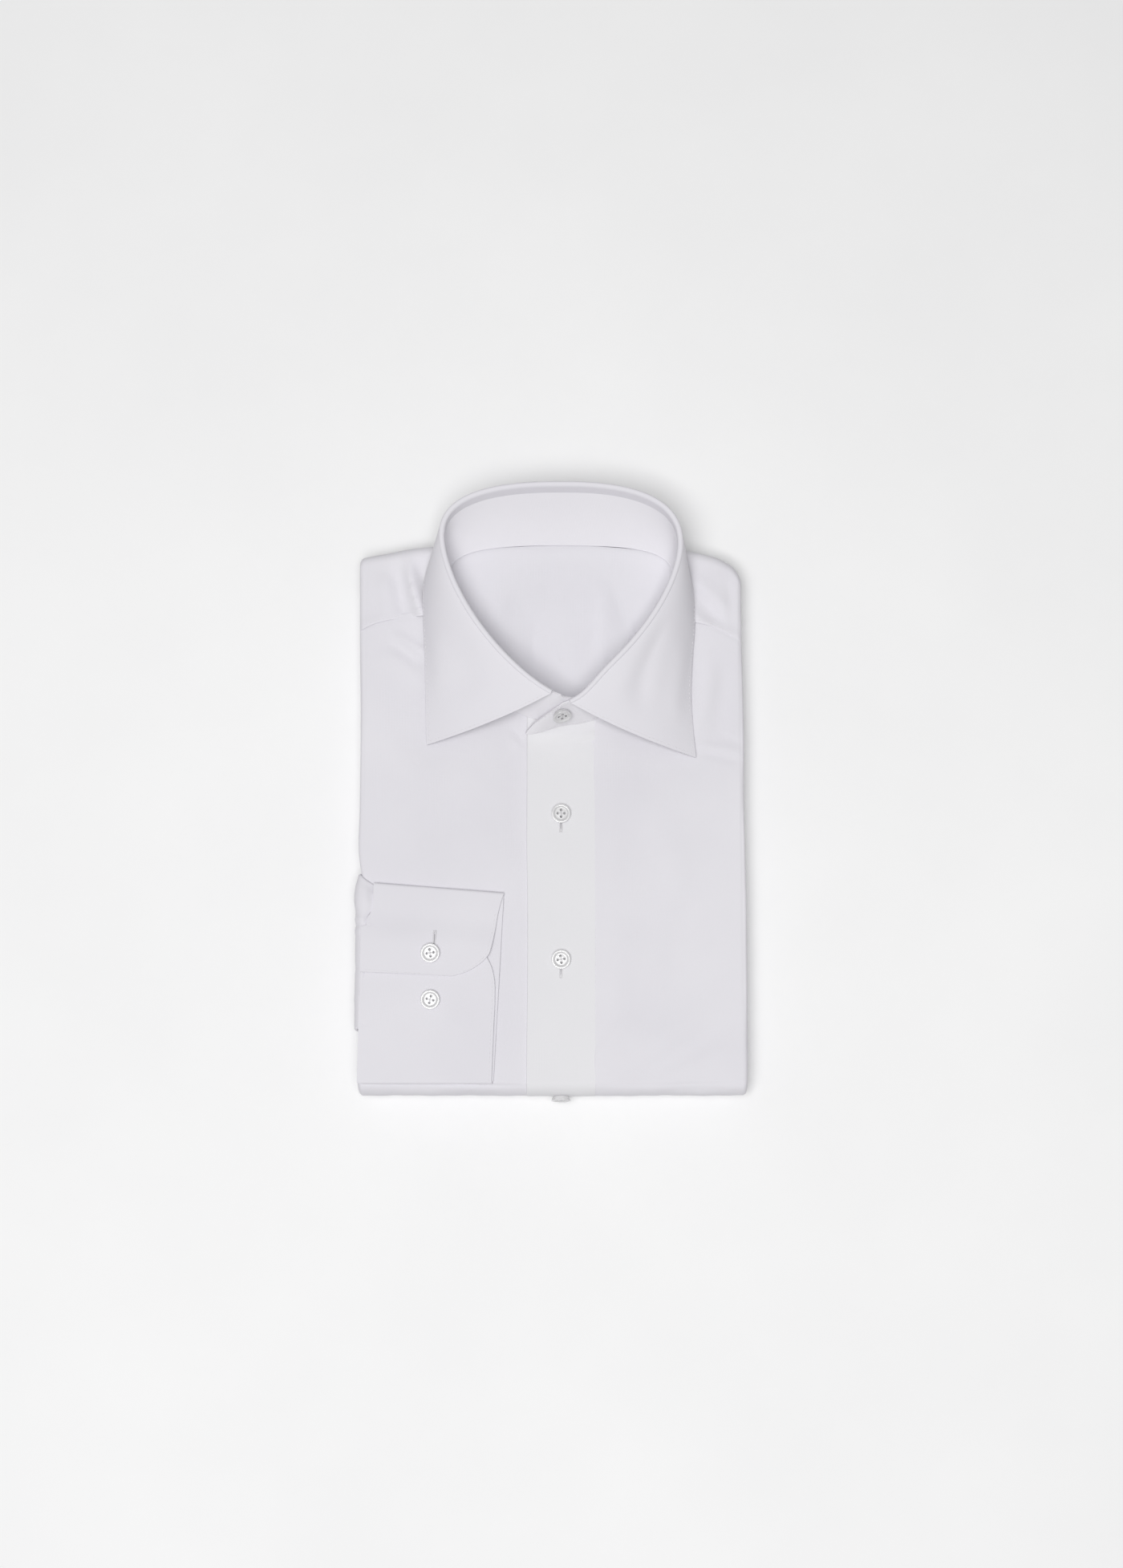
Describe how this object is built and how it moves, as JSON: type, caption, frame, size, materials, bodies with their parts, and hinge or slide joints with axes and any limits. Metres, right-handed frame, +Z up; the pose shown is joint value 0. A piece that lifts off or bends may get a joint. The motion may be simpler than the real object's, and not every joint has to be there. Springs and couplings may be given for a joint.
{
  "type": "folded dress shirt",
  "caption": "Men's long-sleeved dress shirt folded flat in a rectangle, with a standing collar and one cuff brought round to the front.",
  "frame": {"origin": "on the floor, at the middle of the folded body", "axes": "+X towards the wearer's left, +Y towards the collar, +Z up from the floor to the front"},
  "size_m": [0.2322, 0.3649, 0.0561],
  "materials": {
    "shirt_cloth": "plain white shirting with a faint lilac cast, matt, pressed",
    "inside_cloth": "inside of the same white shirting, matt",
    "collar_cloth": "stiffened white shirting, smooth and matt, edge-stitched",
    "buttons": "white resin with a soft pearl gloss"
  },
  "bodies": {
    "root": {"front_right": "shirt_cloth", "front_left": "shirt_cloth", "front_band": "shirt_cloth", "yoke": "shirt_cloth", "sleeve_right": "shirt_cloth", "cuff_right": "shirt_cloth", "back": "inside_cloth", "folded_layers": "inside_cloth", "collar_stand": "collar_cloth", "collar_leaf": "collar_cloth", "button_collar": "buttons", "button_front_1": "buttons", "button_front_2": "buttons", "button_fold": "buttons", "button_cuff_1": "buttons", "button_cuff_2": "buttons"}
  },
  "joints": []
}
